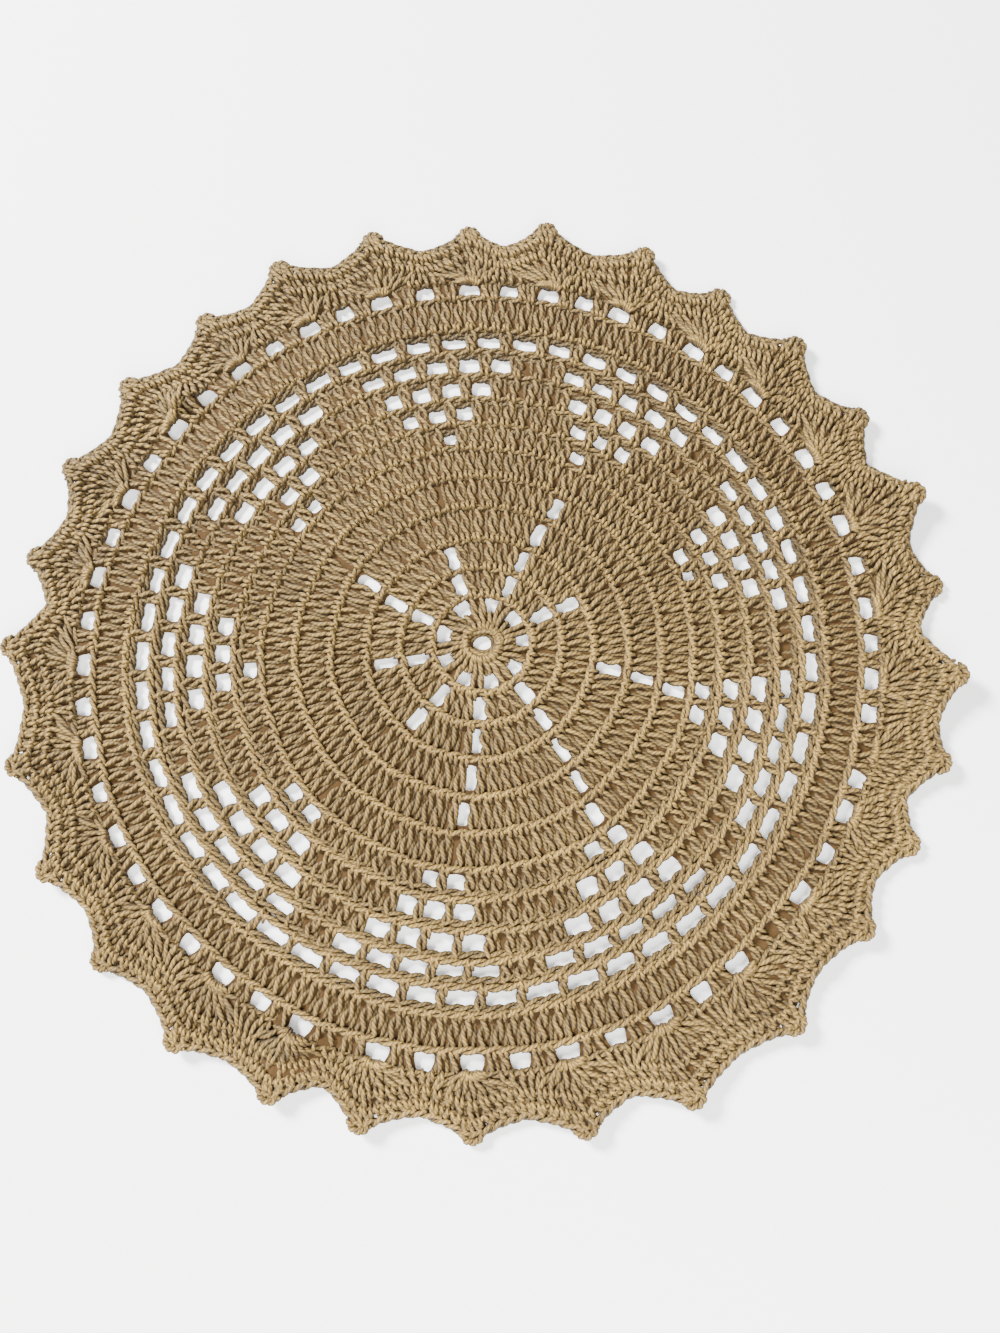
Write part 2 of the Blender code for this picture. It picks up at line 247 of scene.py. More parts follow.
class Chart:
    """Where everything lies on the cloth. It works in millimetres, and spots are on the plane."""

    def __init__(self) -> None:
        """Find the middle of the outline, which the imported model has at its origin."""
        outline = self.edge_loop()
        self.centre = Vector((0.0, 0.0))
        for axis in range(2):
            values = [spot[axis] for spot in outline]
            self.centre[axis] = (max(values) + min(values)) / 2

    @staticmethod
    def drift_at(radius: float) -> Vector:
        """How far the middle of a round lies off the rim's centre.

        Args:
            radius: Radius of the round.

        Returns:
            The way from the rim's centre to the round's own.
        """
        for inner, outer in zip(DRIFTS, DRIFTS[1:]):
            if radius < outer.radius:
                share = smooth((radius - inner.radius) / (outer.radius - inner.radius))
                return Vector((mix(inner.x, outer.x, share), mix(inner.y, outer.y, share)))
        return Vector((0.0, 0.0))

    def place(self, radius: float, degrees: float) -> Vector:
        """Spot of the cloth at this worked radius and direction."""
        turn = math.radians(degrees)
        return self.drift_at(radius) + Vector((radius * math.cos(turn), radius * math.sin(turn)))

    @staticmethod
    def middle_of(repeat: Repeat, radius: float) -> float:
        """Direction of the middle of a repeat's open part, which leans as the rounds spiral.

        Args:
            repeat: The repeat.
            radius: Radius at which it is wanted.

        Returns:
            The direction in degrees.
        """
        hub, waist, rim = SPOKE_GAPS[2].radius, MESH_GAPS[7].radius, RIM_MESH_GAP.radius
        if radius <= waist:
            return mix(repeat.hub, repeat.waist, (radius - hub) / (waist - hub))
        return mix(repeat.waist, repeat.rim, (radius - waist) / (rim - waist))

    def swirl(self, degrees: float, start: float, end: float) -> float:
        """Follow a line of stitches from one radius to another.

        Args:
            degrees: Its direction at the start.
            start: Radius at the start.
            end: Radius at the end.

        Returns:
            Its direction at the end.
        """
        for index, repeat in enumerate(REPEATS):
            following = REPEATS[(index + 1) % len(REPEATS)]
            first, second = self.middle_of(repeat, start), self.middle_of(following, start)
            span, turn = turn_between(first, second), turn_between(first, degrees)
            if 0 <= turn <= span:
                lean = self.middle_of(repeat, end) - first
                return degrees + mix(lean, self.middle_of(following, end) - second, turn / span)
        return degrees

    def openings(self, number: int) -> list[Opening]:
        """Gaps of one round in the order that they are worked.

        Args:
            number: Round, from 1 for the ring round to 13 for the mesh under the fans.

        Returns:
            One opening for each gap. A closed spoke still has its place, with hardly any width.
        """
        found = []
        for index, repeat in enumerate(REPEATS):
            if number == 1:
                found.append(self.opening(RING_GAP, repeat.hub + RING_GAP_TURN))
            elif number in SPOKE_GAPS:
                gap = SPOKE_GAPS[number]
                is_open = repeat.first <= number <= repeat.last
                found.append(self.opening(gap, self.middle_of(repeat, gap.radius), 1.0, is_open))
            elif number in MESH_GAPS:
                gap = MESH_GAPS[number]
                meshes = FIRST_MESHES + number - min(MESH_GAPS)
                for spot in range(meshes):
                    at = self.middle_of(repeat, gap.radius) + (spot - (meshes - 1) / 2) * repeat.pitch
                    found.append(self.opening(gap, at, repeat.pull, repeat.shut != (number, spot)))
            elif number == RIM_MESH_ROUND:
                for spot in range(RIM_MESHES):
                    offset = spot - (RIM_MESHES - 1) / 2
                    neighbour = REPEATS[(index + (1 if offset > 0 else -1)) % len(REPEATS)]
                    pitch = abs(turn_between(repeat.rim, neighbour.rim)) / RIM_MESHES
                    found.append(self.opening(RIM_MESH_GAP, repeat.rim + offset * pitch, repeat.pull))
        if number == FAN_ROUND:
            for index, point in enumerate(POINTS):
                following = POINTS[(index + 1) % len(POINTS)]
                between = point.foot + turn_between(point.foot, following.foot) / 2
                found.append(self.opening(FAN_GAP, point.foot, 1.0, index not in HIDDEN_FAN_GAPS))
                found.append(self.opening(BETWEEN_GAP, between, 1.0, index not in HIDDEN_BETWEEN_GAPS))
        return found

    def walls(self, number: int) -> list[Wall]:
        """Solid parts between the gaps of one round."""
        openings = self.openings(number)
        return [Wall(*pair) for pair in zip(openings, openings[1:] + openings[:1])]

    @staticmethod
    def opening(gap: Gap, at: float, pull: float = 1.0, is_open: bool = True) -> Opening:
        """Make an opening of a kind of gap.

        Args:
            gap: Kind of gap.
            at: Direction of its middle.
            pull: How far it is pulled wider, as a share.
            is_open: Whether it is open.

        Returns:
            The opening.
        """
        width = gap.width * pull if is_open else CLOSED_WIDTH
        pulled = Gap(gap.radius, gap.width * pull, gap.height * pull)
        return Opening(at, math.degrees(width / 2 / gap.radius), pulled, is_open)

    @staticmethod
    def sides(index: int) -> tuple[Point, Point, float, float]:
        """Find a point and the two notches beside it.

        Args:
            index: Number of the point.

        Returns:
            The point, the one before it, and the turns from its tip to the notch before and after it.
        """
        previous, point, following = POINTS[index - 1], POINTS[index], POINTS[(index + 1) % len(POINTS)]
        before = turn_between(previous.tip, point.tip) / 2
        after = turn_between(point.tip, following.tip) / 2
        return point, previous, before, after

    def edge_loop(self) -> list[Vector]:
        """Outline of the cloth: notches, the sides of the points and their picot knobs."""
        corners = []
        for index in range(len(POINTS)):
            point, previous, before, after = self.sides(index)
            base = point.reach - KNOB_HEIGHT
            knob = math.degrees(KNOB_WIDTH / 2 / point.reach)
            knob_top = math.degrees(KNOB_TOP_WIDTH / 2 / point.reach)
            corners += [
                self.place(previous.notch, point.tip - before),
                self.place((previous.notch + base) / 2 + SIDE_BULGE, point.tip - (before + knob) / 2),
                self.place(base, point.tip - knob),
                self.place(point.reach, point.tip - knob_top),
                self.place(point.reach, point.tip + knob_top),
                self.place(base, point.tip + knob),
                self.place((point.notch + base) / 2 + SIDE_BULGE, point.tip + (after + knob) / 2),
            ]
        return corners

    @staticmethod
    def edge_radius(degrees: float) -> float:
        """Radius of the edge, without the picot knobs.

        Args:
            degrees: Direction.

        Returns:
            The radius.
        """
        for index, point in enumerate(POINTS):
            following = POINTS[(index + 1) % len(POINTS)]
            span = turn_between(point.tip, following.tip)
            turn = turn_between(point.tip, degrees)
            if 0 <= turn < span:
                tip = (point if turn < span / 2 else following).reach - KNOB_HEIGHT
                return mix(point.notch, tip, abs(turn - span / 2) / (span / 2))
        raise ValueError(degrees)

    def edging_radius(self, degrees: float, share: float) -> float:
        """Radius of a line of the edging, which climbs at each picot.

        Args:
            degrees: Direction.
            share: Share of the way from the band to the edge.

        Returns:
            The radius.
        """
        turn = min(abs(turn_between(point.tip, degrees)) for point in POINTS)
        return mix(BAND, self.edge_radius(degrees) + TIP_RISE * swell(turn, TIP_RISE_SPREAD), share)

    def lift_at(self, spot: Vector) -> float:
        """How far the underside of the cloth is off the surface.

        Args:
            spot: Spot of the plane.

        Returns:
            The height.
        """
        worked = spot - self.drift_at(spot.length)
        radius = worked.length
        if radius < FLAT_RADIUS:
            return 0.0
        degrees = math.degrees(math.atan2(worked.y, worked.x))
        lift = max(point.lift * swell(turn_between(point.tip, degrees), RUFFLE_SPREAD) for point in POINTS)
        lift *= smooth((radius - RUFFLE_START) / (RUFFLE_END - RUFFLE_START))
        for buckle in BUCKLES:
            turn = math.radians(buckle.at + buckle.heading)
            crest = Vector((math.cos(turn), math.sin(turn)))
            away = spot - self.place(buckle.radius, buckle.at)
            along = swell(away.dot(crest), buckle.length)
            lift += buckle.rise * along * swell(away.dot(crest.orthogonal()), buckle.width)
        return lift

    def laid(self, spot: Vector, height: float) -> tuple[float, float, float]:
        """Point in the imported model, in metres, of a spot at this height in the cloth."""
        away = spot - self.centre
        return (away.x * MM, away.y * MM, (height + self.lift_at(spot)) * MM)


# Yarn and stitches

@dataclass
class Strand:
    """A short length of yarn: its points on the plane with their heights, its half thickness and its tone."""

    spots: list[tuple[Vector, float]]
    girth: float
    tone: float
    closed: bool = False


@dataclass
class StitchSizes:
    """Sizes of the stitches, in millimetres."""

    girth: float = 1.02
    chain_girth: float = 1.0
    loop_girth: float = 0.95
    middle: float = 1.85
    swing: float = 0.9
    foot_drop: float = 0.9
    far_sink: float = 0.8
    chain_height: float = 2.6
    chain_swing: float = 0.6
    loop_height: float = 3.2
    loop_length: float = 4.2
    loop_slant: float = 0.25


@dataclass(frozen=True)
class Post:
    """A kind of post: width, turns and lengths of its strands, spread of its foot, place of its back leg."""

    width: float
    turns: float
    steps: int
    foot: float = 0.5
    leg: float = 0.0


@dataclass(frozen=True)
class Chain:
    """A kind of chain: its links' length and spread, how far its outer side hangs, its depth and tone,
    lowered as painted shade on the lines that lie lower.
    """

    pitch: float = 5.0
    spread: float = 0.85
    hang: float = 0.0
    sink: float = 0.0
    tone: float = 1.03


BACK_LEG = ((0.0, -0.9, 1.1), (0.25, -0.6, 1.3), (0.5, 0.1, 1.5), (0.75, 0.7, 1.7), (1.0, 1.0, 1.6))
LOOP = ((-0.34, 0.62), (-0.15, 0.92), (0.05, 1.0), (0.3, 0.85), (0.6, 0.4))

ROUND_POST = Post(4.9, 0.95, 8)
RING_POST = Post(4.0, 0.5, 4)
FAN_MESH_POST = Post(3.9, 0.6, 5, leg=2.2)
FAN_POST = Post(4.2, 0.9, 7, foot=-0.5, leg=2.1)
BETWEEN_POST = Post(3.7, 0.5, 4)
EDGING_POST = Post(4.1, 0.7, 5, leg=2.0)
PICOT_POST = Post(3.6, 0.6, 5)

ROUND_CHAIN = Chain()
# Painted shade: the lower lines of chain under the meshes, fans and braid have lower tones
MESH_CHAIN = Chain(sink=1.1, hang=-0.6, tone=0.78)
FAN_CHAIN = Chain(pitch=5.4, spread=0.8, sink=0.8, tone=0.9)
BRAID_CHAIN = Chain(pitch=4.4, spread=0.9, sink=0.8, tone=0.9)
EDGING_CHAIN = Chain(pitch=4.4, spread=0.8, hang=0.3, sink=0.3)
EDGE_CHAIN = Chain(pitch=4.4, spread=0.9, hang=1.3)
PICOT_CHAIN = Chain(spread=0.75, hang=0.8, sink=0.1)


@dataclass
class Stitcher:
    """Lays the strands of each kind of stitch."""

    sizes: StitchSizes
    uneven: random.Random
    strands: list[Strand] = field(default_factory=list)

    def tone(self) -> float:
        """How light this length of yarn came out, round 1."""
        return self.uneven.uniform(0.8, 1.12)

    def post(self, base: Vector, top: Vector, kind: Post) -> None:
        """Lay one stitch's post: two strands twisted round each other from its base to its top.

        Args:
            base: Spot that it is worked into.
            top: Spot of its top, under the chain of its round.
            kind: Kind of post.
        """
        sizes, uneven = self.sizes, self.uneven
        along = top - base
        left = along.orthogonal().normalized()
        base, top = base + left * uneven.uniform(-0.3, 0.3), top + left * uneven.uniform(-0.3, 0.3)
        girth = sizes.girth * uneven.uniform(0.94, 1.06)
        start = math.radians(uneven.uniform(-30, 30))
        turns = kind.turns * uneven.uniform(0.75, 1.2)
        tone = self.tone()
        for strand in range(2):
            spots = []
            for step in range(kind.steps + 1):
                share = step / kind.steps
                phase = start + math.pi * strand - math.tau * turns * share
                spread = kind.foot * max(0.0, 1 - share / 0.35) ** 2
                swing = (kind.width / 2 - girth) * (1 + spread) * mix(1, 0.7, smooth((share - 0.75) / 0.25))
                ends = smooth(share / 0.12) * smooth((1 - share) / 0.12)
                height = sizes.middle + sizes.swing * math.sin(phase) * mix(0.4, 1, ends)
                height -= sizes.foot_drop * (1 - smooth(share / 0.3))
                spots.append((base + along * share + left * (swing * math.cos(phase)), height))
            self.strands.append(Strand(spots, girth, tone * uneven.uniform(0.95, 1.05)))

    def back_leg(self, base: Vector, top: Vector, offset: float) -> None:
        """Lay the leg of a stitch that shows lower down, between its post and the next one.

        Args:
            base: Spot that the stitch is worked into.
            top: Spot of its top.
            offset: How far to the left of the post the leg lies.
        """
        sizes, uneven = self.sizes, self.uneven
        along = top - base
        left = along.orthogonal().normalized()
        offset += uneven.uniform(-0.3, 0.3)
        spots = []
        for share, aside, height in BACK_LEG:
            spots.append((base + along * share + left * (offset + aside), height))
        # Painted shade: the leg lies low between the posts, so its tone is lowered
        self.strands.append(Strand(spots, sizes.girth * 0.95, self.tone() * 0.92))

    def loops(self, base: Vector, outward: Vector, count: int = 2, spacing: float = 1.7) -> None:
        """Lay the short loops with which a stitch holds the chain below it.

        Args:
            base: Spot on the line of the chain.
            outward: Direction across the chain, away from the centre.
            count: Loops beside each other.
            spacing: Distance between two of them.
        """
        sizes, uneven = self.sizes, self.uneven
        left = outward.orthogonal()
        for loop in range(count):
            offset = (loop - (count - 1) / 2) * spacing + uneven.uniform(-0.3, 0.3)
            length = sizes.loop_length * uneven.uniform(0.85, 1.15)
            slant = sizes.loop_slant + uneven.uniform(-0.12, 0.12)
            top = sizes.loop_height + uneven.uniform(-0.2, 0.2)
            spots = []
            for across, height in LOOP:
                lean = left * (offset + across * length * slant)
                spots.append((base + outward * (across * length) + lean, height * top))
            self.strands.append(Strand(spots, sizes.loop_girth, self.tone()))

    def chain_link(self, at: Vector, ahead: Vector, chain: Chain) -> None:
        """Lay one link of chain: two strands that cross each other, as the links of a chain do from above.

        Args:
            at: Spot where the link starts.
            ahead: Spot where the next one starts.
            chain: Kind of chain.
        """
        sizes, uneven = self.sizes, self.uneven
        forward = ahead - at
        outward = -forward.orthogonal().normalized()
        tone = self.tone() * chain.tone
        start = uneven.uniform(-0.4, 0.4)
        for side in range(2):
            spots = []
            for step in range(5):
                phase = start + math.pi * (side + mix(-0.15, 1.15, step / 4))
                away = math.cos(phase)
                height = sizes.chain_height - chain.sink + sizes.chain_swing * math.sin(phase)
                height -= chain.hang * (away + 1) / 2 + sizes.far_sink * smooth(at.y / 60 + 0.3)
                share = mix(-0.25, 1.25, step / 4)
                spots.append((at + forward * share + outward * (away * chain.spread), height))
            self.strands.append(Strand(spots, sizes.chain_girth, tone * uneven.uniform(0.94, 1.06)))

    def chain_line(self, line: list[Vector], chain: Chain) -> None:
        """Lay a closed line of chain with links of about this kind's length.

        Args:
            line: Spots of the closed line.
            chain: Kind of chain.
        """
        lengths = [0.0]
        for first, second in zip(line, line[1:] + line[:1]):
            lengths.append(lengths[-1] + (second - first).length)
        count = max(3, round(lengths[-1] / chain.pitch))
        spots, corner = [], 0
        for link in range(count):
            wanted = lengths[-1] * link / count
            while lengths[corner + 1] < wanted:
                corner += 1
            share = (wanted - lengths[corner]) / (lengths[corner + 1] - lengths[corner])
            spots.append(line[corner].lerp(line[(corner + 1) % len(line)], share))
        for link, at in enumerate(spots):
            self.chain_link(at, spots[(link + 1) % count], chain)


class Region(Enum):
    """The parts of the cloth, each one piece of yarn in the scene."""

    PETALS = "petals"
    MESH = "mesh"
    RIM_MESH = "rim_mesh"
    BAND = "band"
    FANS = "fans"
    BRAID = "braid"
    EDGING = "edging"

    @classmethod
    def of_round(cls, number: int) -> "Region":
        """Find the region of a round.

        Args:
            number: Round, from 1 to 12.

        Returns:
            The region.
        """
        for last, region in ((6, cls.PETALS), (9, cls.MESH), (11, cls.RIM_MESH)):
            if number <= last:
                return region
        return cls.BAND


@dataclass(frozen=True)
class PostSpot:
    """Where a post of a round stands: direction, room, radius, and if another stands after it."""

    degrees: float
    room: float
    radius: float
    followed: bool


@dataclass(frozen=True)
class Coil:
    """One coil of the ring of yarn in the centre."""

    radius: float
    height: float


@dataclass(frozen=True)
class Row:
    """A row of the edging: its region, its stitches on a point, and its shares of the way to the edge."""

    region: Region
    stitches: int
    inner: float
    outer: float


@dataclass(frozen=True)
class Line:
    """A line of chain in the edging: its region, its share of the way to the edge, and its kind."""

    region: Region
    share: float
    chain: Chain


COILS = (Coil(4.1, 1.2), Coil(5.4, 2.2), Coil(6.9, 2.7))
ROWS = (Row(Region.BRAID, 9, 0.6, 0.82), Row(Region.EDGING, 10, 0.81, 0.98))
LINES = (
    Line(Region.BRAID, 0.62, BRAID_CHAIN),
    Line(Region.EDGING, 0.81, EDGING_CHAIN),
    Line(Region.EDGING, 0.97, EDGE_CHAIN),
)


@dataclass(frozen=True)
class WorkSizes:
    """How the stitches sit in their rounds, in millimetres, degrees and shares."""

    coil_steps: int = 24
    coil_yarn: float = 1.0
    post_lean: float = 0.5
    last_leg_inset: float = 1.0
    ring_post_top: float = 12.8
    under_chain: float = 2.2
    fan_mesh_lean: float = 0.55
    fan_foot: float = 4.6
    fan_spread: float = 0.96
    fan_top: float = 0.61
    fan_side_width: float = 3.7
    leg_start: float = 0.25
    between_top: float = 0.6
    between_pitch: float = 3.5
    edging_lean: float = 1.6
    edging_reach: float = 170
    picot_middle: float = 4.8
    picot_half: float = 3.6
    picot_rise: float = 3.4
    picot_links: int = 4
    picot_root: float = 8
    picot_top: float = 1.6
    picot_slope: float = 0.8
    picot_pitch: float = 2.1


class YarnWork:
    """Works the whole doily, round by round."""

    def __init__(self, chart: Chart, stitches: StitchSizes, seed: int) -> None:
        """Prepare one stitcher for each region, all with the same unevenness.

        Args:
            chart: Chart that says where the stitches lie.
            stitches: Sizes of the stitches.
            seed: Seed of the unevenness.
        """
        self.chart = chart
        self.sizes = WorkSizes()
        self.uneven = random.Random(seed)
        self.regions = {region: Stitcher(stitches, self.uneven) for region in Region}

    def work(self) -> None:
        """Work every round."""
        self.work_ring()
        for number in range(1, FAN_ROUND):
            self.work_round(number)
        self.work_fan_mesh()
        for index in range(len(POINTS)):
            self.work_fan(index)
            self.work_edging(index)
            self.work_picot(index)
        self.work_edge_chain()

    def circle(self, radius: float, steps: int = 180) -> list[Vector]:
        """Draw a closed line round the cloth, a little wavy.

        Args:
            radius: Its worked radius.
            steps: Spots on it.

        Returns:
            The spots.
        """
        first, second = self.uneven.uniform(0, math.tau), self.uneven.uniform(0, math.tau)
        line = []
        for step in range(steps):
            turn = math.tau * step / steps
            wave = 0.35 * math.sin(9 * turn + first) + 0.25 * math.sin(23 * turn + second)
            line.append(self.chart.place(radius + wave, math.degrees(turn)))
        return line

    def work_ring(self) -> None:
        """Work the ring of yarn in the centre, which all of the first round's stitches hold."""
        sizes, middle = self.sizes, self.chart.place(0, 0)
        for coil in COILS:
            spots = []
            for step in range(sizes.coil_steps):
                turn = math.tau * step / sizes.coil_steps
                wobble = coil.radius * (1 + 0.07 * math.sin(3 * turn + coil.radius))
                wobble += self.uneven.uniform(-0.15, 0.15)
                away = Vector((math.cos(turn) * 1.05, math.sin(turn) * 0.85)) * wobble
                spots.append((middle + away, coil.height + 0.3 * math.sin(2 * turn + coil.radius)))
            self.regions[Region.PETALS].strands.append(Strand(spots, sizes.coil_yarn, 1.0, closed=True))

    def work_round(self, number: int) -> None:
        """Work one round of posts, the loops at their base and the chain along their top.

        Args:
            number: Round, from 1 to 12.
        """
        chart, uneven, sizes = self.chart, self.uneven, self.sizes
        stitcher = self.regions[Region.of_round(number)]
        inner = ROUNDS[number - 2] if number > 1 else RING_RADIUS
        outer = ROUNDS[number - 1]
        loop_spacing = 2.0 if number < RIM_MESH_ROUND else 1.8
        for spot in self.band_spots() if number == BAND_ROUND else self.spots_between(number):
            degrees = spot.degrees + math.degrees(uneven.uniform(-0.6, 0.6) / spot.radius)
            base = chart.place(inner + 0.4, chart.swirl(degrees, spot.radius, inner))
            top = chart.place(outer - 0.6, chart.swirl(degrees, spot.radius, outer))
            outward = (top - base).normalized()
            lean = outward.orthogonal() * (sizes.post_lean + uneven.uniform(-0.4, 0.4))
            width = min(spot.room, ROUND_POST.width) * uneven.uniform(0.92, 1.04)
            stitcher.post(base - lean, top + lean, replace(ROUND_POST, width=width))
            stitcher.loops(base, outward, 2, loop_spacing)
            if number > 1:
                inset = 0 if spot.followed else sizes.last_leg_inset
                stitcher.back_leg(base, top, spot.room / 2 - inset)
        if number == 1:
            for opening in chart.openings(number):
                base, top = (chart.place(radius, opening.at) for radius in (inner, sizes.ring_post_top))
                stitcher.post(base, top, RING_POST)
        if number in MESH_GAPS or number == RIM_MESH_ROUND:
            stitcher.chain_line(self.circle(outer - sizes.under_chain), MESH_CHAIN)
        stitcher.chain_line(self.circle(outer), ROUND_CHAIN)

    def spots_between(self, number: int) -> Iterator[PostSpot]:
        """Place the posts between the gaps of a round.

        Args:
            number: Round, from 1 to 11.

        Yields:
            One spot for each post.
        """
        for wall in self.chart.walls(number):
            radius = wall.before.gap.radius
            if number == 1:
                count = RING_STITCHES
            elif number in SPOKE_GAPS or number in MESH_GAPS and wall.span > PETAL_SPAN:
                count = PETAL_STITCHES[number]
            else:
                count = 1
            room = math.radians(wall.end - wall.start) * radius / count
            for spot in range(count):
                degrees = mix(wall.start, wall.end, (spot + 0.5) / count)
                yield PostSpot(degrees, room, radius, spot < count - 1 or not wall.after.is_open)

    def band_spots(self) -> Iterator[PostSpot]:
        """Place the posts of the solid band, which keep step with the mesh below it.

        Yields:
            One spot for each post.
        """
        posts = [spot.degrees for spot in self.spots_between(RIM_MESH_ROUND)]
        radius = (ROUNDS[-2] + ROUNDS[-1]) / 2
        for first, second in zip(posts, posts[1:] + posts[:1]):
            span = turn_between(first, second)
            room = math.radians(span) * radius / BAND_STITCHES_PER_MESH
            for spot in range(BAND_STITCHES_PER_MESH):
                yield PostSpot(first + span * spot / BAND_STITCHES_PER_MESH, room, radius, True)

    def work_fan_mesh(self) -> None:
        """Work the mesh under the fans: the posts between each two gaps, and the chain over them."""
        chart, stitcher, lean = self.chart, self.regions[Region.BAND], self.sizes.fan_mesh_lean
        for wall in chart.walls(FAN_ROUND):
            count = max(2, round(math.radians(wall.end - wall.start) * BAND / ROUND_POST.width))
            for spot in range(count):
                share = (spot + 0.5) / count
                base = chart.place(BAND + 0.6, mix(wall.start + lean / 2, wall.end - lean / 2, share))
                top = chart.place(FAN_BASE - 0.4, mix(wall.start - lean, wall.end + lean, share))
                stitcher.post(base, top, FAN_MESH_POST)
                if spot < count - 1:
                    stitcher.back_leg(base, top, FAN_MESH_POST.leg)
                stitcher.loops(base, (top - base).normalized())
        stitcher.chain_line(self.circle(FAN_BASE), FAN_CHAIN)

    def work_fan(self, index: int) -> None:
        """Work one fan: its stitches share one mesh and spread to the whole width of their point.

        Args:
            index: Number of the point.
        """
        chart, stitcher, sizes = self.chart, self.regions[Region.FANS], self.sizes
        point, _, before, after = chart.sides(index)
        for stitch in range(FAN_STITCHES):
            share = (stitch + 0.5) / FAN_STITCHES * 2 - 1
            foot = point.foot + math.degrees(share * sizes.fan_foot / FAN_BASE)
            tip = point.tip + share * (after if share > 0 else before) * sizes.fan_spread
            base = chart.place(FAN_BASE + 0.6 - 0.8 * abs(share), foot)
            top = chart.place(chart.edging_radius(tip, sizes.fan_top), tip)
            outward = (top - base).normalized()
            shift = outward.orthogonal() * self.uneven.uniform(-0.3, 0.3)
            width = mix(FAN_POST.width, sizes.fan_side_width, abs(share))
            stitcher.post(base + shift, top + shift, replace(FAN_POST, width=width))
            stitcher.back_leg(base.lerp(top, sizes.leg_start), top, FAN_POST.leg)
            stitcher.loops(base - outward * 0.4, outward, 2, 1.5)
        between = point.tip + after
        base = chart.place(FAN_BASE + 0.2, between)
        top = chart.place(chart.edging_radius(between, sizes.between_top), between)
        outward = (top - base).normalized()
        for side in range(-2, 3):
            aside = outward.orthogonal() * (side * sizes.between_pitch)
            stitcher.post(base + aside, top + aside * 0.5, BETWEEN_POST)
            stitcher.loops(base + aside, outward, 1)

    def work_edging(self, index: int) -> None:
        """Work the two rows along the zigzag of one point.

        Args:
            index: Number of the point.
        """
        chart, uneven, sizes = self.chart, self.uneven, self.sizes
        point, _, before, after = chart.sides(index)
        for row in ROWS:
            stitcher = self.regions[row.region]
            for stitch in range(row.stitches):
                share = (stitch + 0.5) / row.stitches * 2 - 1
                at = point.tip + share * (after if share > 0 else before)
                base = chart.place(chart.edging_radius(at, row.inner), at)
                lean = sizes.edging_lean * smooth(abs(share) * 3) * smooth((1 - abs(share)) * 3)
                lean = math.copysign(lean, share) + uneven.uniform(-0.3, 0.6)
                leaned = at + math.degrees(lean / sizes.edging_reach)
                top = chart.place(chart.edging_radius(leaned, row.outer), leaned)
                width = EDGING_POST.width * uneven.uniform(0.92, 1.06)
                stitcher.post(base, top, replace(EDGING_POST, width=width))
                stitcher.back_leg(base, top, EDGING_POST.leg)
                stitcher.loops(base, (top - base).normalized(), 2, 1.9)

    def work_picot(self, index: int) -> None:
        """Work the picot on one tip: three posts, and an arc of chain that closes over them.

        Args:
            index: Number of the point.
        """
        chart, stitcher, sizes = self.chart, self.regions[Region.EDGING], self.sizes
        point = POINTS[index]
        tip = chart.place(point.reach, point.tip)
        outward = (tip - chart.place(BAND, point.tip)).normalized()
        left = outward.orthogonal()
        for side in (-1, 0, 1):
            aside = left * (side * sizes.picot_pitch)
            base = tip + aside * 1.2 - outward * sizes.picot_root
            top = tip + aside - outward * (sizes.picot_top + sizes.picot_slope * abs(side))
            stitcher.post(base, top, PICOT_POST)
        middle, spots = tip - outward * sizes.picot_middle, []
        for link in range(sizes.picot_links + 1):
            turn = math.pi * (0.05 + 0.9 * link / sizes.picot_links) + self.uneven.uniform(-0.08, 0.08)
            across = left * (sizes.picot_half * math.cos(turn))
            spots.append(middle + across + outward * (sizes.picot_rise * math.sin(turn)))
        for at, ahead in zip(spots, spots[1:]):
            stitcher.chain_link(at, ahead, PICOT_CHAIN)

    def work_edge_chain(self) -> None:
        """Work the chain lines of the edging and of the outer edge."""
        chart = self.chart
        for line in LINES:
            spots = []
            for step in range(EDGE_STEPS):
                degrees = 360 * step / EDGE_STEPS
                spots.append(chart.place(chart.edging_radius(degrees, line.share), degrees))
            self.regions[line.region].chain_line(spots, line.chain)


# Yarn sweep, materials and pieces

def add_node(tree: bpy.types.NodeTree, kind: str, settings: dict | None = None) -> bpy.types.Node:
    """Add a node to a tree.

    Args:
        tree: Tree that it goes into.
        kind: Type of the node.
        settings: Its properties by name, and its inputs by name or number: values, or sockets to link.

    Returns:
        The node.
    """
    node = tree.nodes.new(kind)
    for name, value in (settings or {}).items():
        if not isinstance(name, int) and name not in node.inputs:
            setattr(node, name, value)
        elif isinstance(value, bpy.types.NodeSocket):
            tree.links.new(value, node.inputs[name])
        else:
            node.inputs[name].default_value = value
    return node


def srgb(code: str) -> tuple[float, float, float, float]:
    """Linear colour of a hexadecimal sRGB code."""
    parts = [int(code[start:start + 2], 16) / 255 for start in (0, 2, 4)]
    return (*(part / 12.92 if part <= 0.04045 else ((part + 0.055) / 1.055) ** 2.4 for part in parts), 1.0)


